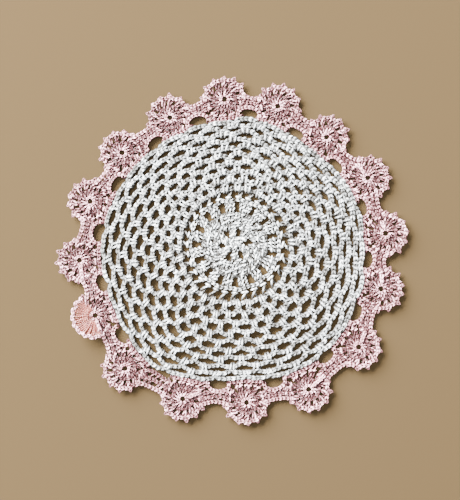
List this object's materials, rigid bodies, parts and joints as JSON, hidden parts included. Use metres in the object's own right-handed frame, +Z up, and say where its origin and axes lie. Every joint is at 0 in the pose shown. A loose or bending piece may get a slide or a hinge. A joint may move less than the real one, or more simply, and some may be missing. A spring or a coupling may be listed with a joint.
{
  "type": "crochet lace doily",
  "caption": "Round crochet lace doily lying flat: an open net centre and a band of round scalloped motifs.",
  "frame": {"origin": "middle of the bounding box on the plane that the doily lies on", "axes": "+Z up through the thickness, +Y toward the top of the picture, +X to its right"},
  "size_m": [0.253, 0.2508, 0.0075],
  "materials": {
    "cream_cotton": "undyed cotton yarn, matt",
    "pink_cotton": "dusty pink cotton yarn, matt"
  },
  "bodies": {
    "root": {"net_centre": "cream_cotton", "scallop_edging": "pink_cotton"}
  },
  "joints": []
}
